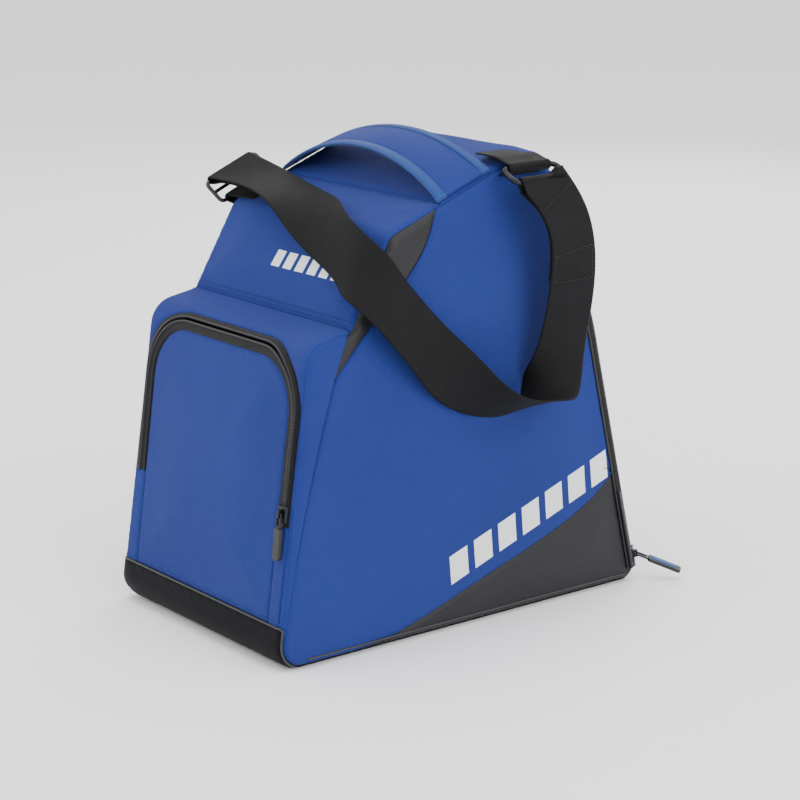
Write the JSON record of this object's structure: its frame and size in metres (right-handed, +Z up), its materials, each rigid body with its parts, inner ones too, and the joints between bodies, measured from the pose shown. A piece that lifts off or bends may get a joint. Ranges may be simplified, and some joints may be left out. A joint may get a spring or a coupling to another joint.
{
  "type": "ski boot bag",
  "caption": "Wedge-shaped soft bag for ski boots: padded fabric shell, zipped back flap, zipped front pocket, arched top handle and a twisted webbing shoulder strap.",
  "frame": {"origin": "on the floor under the middle of the base, midway between the front and the rear bottom edges", "axes": "+Z up, +Y towards the back flap with the large zipper, -Y towards the front pocket, +X towards the side whose strap ring is at the rear"},
  "size_m": [0.3289, 0.4314, 0.4185],
  "materials": {
    "binding_blue": "blue grosgrain binding, matt",
    "black_metal": "black painted metal, semi gloss",
    "black_plastic": "black moulded plastic, satin",
    "blue_fabric": "woven polyester, matt",
    "board": "stiff sheet, matt",
    "coated_black": "black coated fabric, satin",
    "lining": "dark grey lining, matt",
    "piping": "dark grey piping, satin",
    "pull_rubber": "black moulded rubber with a blue line",
    "webbing": "ribbed black webbing, matt",
    "zip_coil": "black nylon coil, satin",
    "zip_tape": "black zipper tape, matt"
  },
  "bodies": {
    "shell": {"back_sill": "coated_black", "base_board": "board", "base_panel": "coated_black", "base_piping_left": "piping", "base_piping_right": "piping", "bumper_piping": "piping", "front_bumper": "coated_black", "front_gusset": "blue_fabric", "front_yoke": "blue_fabric", "handle_binding_front": "binding_blue", "handle_binding_rear": "binding_blue", "haul_handle": "blue_fabric", "kick_panel_left": "coated_black", "kick_panel_right": "coated_black", "leaf_gusset_left": "coated_black", "leaf_gusset_right": "coated_black", "main_zip_coil_body": "zip_coil", "main_zip_coil_ends": "zip_coil", "main_zip_stops": "black_metal", "main_zip_tape_body": "zip_tape", "pocket_divider": "lining", "pocket_lower_panel": "blue_fabric", "pocket_zip_coil_body": "zip_coil", "pocket_zip_coil_ends": "zip_coil", "pocket_zip_stops": "black_metal", "pocket_zip_tape_body": "zip_tape", "rear_piping_left": "piping", "rear_piping_right": "piping", "seam_binding_left": "lining", "seam_binding_right": "lining", "side_panel_left": "blue_fabric", "side_panel_right": "blue_fabric", "strap_anchor_front": "webbing", "strap_anchor_rear": "webbing", "top_panel": "blue_fabric"},
    "back_flap": {"back_panel": "blue_fabric", "main_zip_tape_flap": "zip_tape", "main_zip_coil_flap": "zip_coil"},
    "main_slider": {"main_zip_slider": "black_metal"},
    "main_pull": {"main_zip_pull_link": "black_metal", "main_zip_pull_tab": "pull_rubber"},
    "pocket_flap": {"pocket_panel": "blue_fabric", "pocket_zip_tape_flap": "zip_tape", "pocket_zip_coil_flap": "zip_coil"},
    "pocket_slider": {"pocket_zip_slider": "black_metal"},
    "pocket_pull": {"pocket_zip_pull_link": "black_metal", "pocket_zip_pull_tab": "pull_rubber"},
    "strap": {"shoulder_strap": "webbing", "strap_ring": "black_metal", "strap_slide": "black_plastic", "strap_loop_front": "webbing", "strap_loop_rear": "webbing", "strap_tab_front": "webbing", "strap_tab_rear": "webbing"}
  },
  "joints": [
    {"name": "back_flap_hinge", "type": "hinge", "parent": "shell", "child": "back_flap", "pos_m": [0, 0.198, 0.03375], "axis": [-1, 0, 0], "range_deg": [0, 100]},
    {"name": "main_slider_travel", "type": "slide", "parent": "shell", "child": "main_slider", "axis": [-0.0239, -0.2152, 0.9763], "range_m": [0, 0.205]},
    {"name": "main_pull_hinge", "type": "hinge", "parent": "main_slider", "child": "main_pull", "pos_m": [0.12525, 0.19945, 0.02535], "axis": [0.7169, -0.6843, -0.1333], "range_deg": [0, 110]},
    {"name": "pocket_flap_hinge", "type": "hinge", "parent": "shell", "child": "pocket_flap", "pos_m": [0, -0.1829, 0.14175], "axis": [1, 0, 0], "range_deg": [0, 80]},
    {"name": "pocket_slider_travel", "type": "slide", "parent": "shell", "child": "pocket_slider", "axis": [0, 0.1368, 0.9906], "range_m": [0, 0.066]},
    {"name": "pocket_pull_hinge", "type": "hinge", "parent": "pocket_slider", "child": "pocket_pull", "pos_m": [0.11, -0.18773, 0.13268], "axis": [-1, 0, 0], "range_deg": [0, 165]},
    {"name": "strap_swing", "type": "hinge", "parent": "shell", "child": "strap", "pos_m": [0.126, 0.062, 0.396], "axis": [-0.9257, -0.3718, -0.0692], "range_deg": [0, 100]}
  ]
}
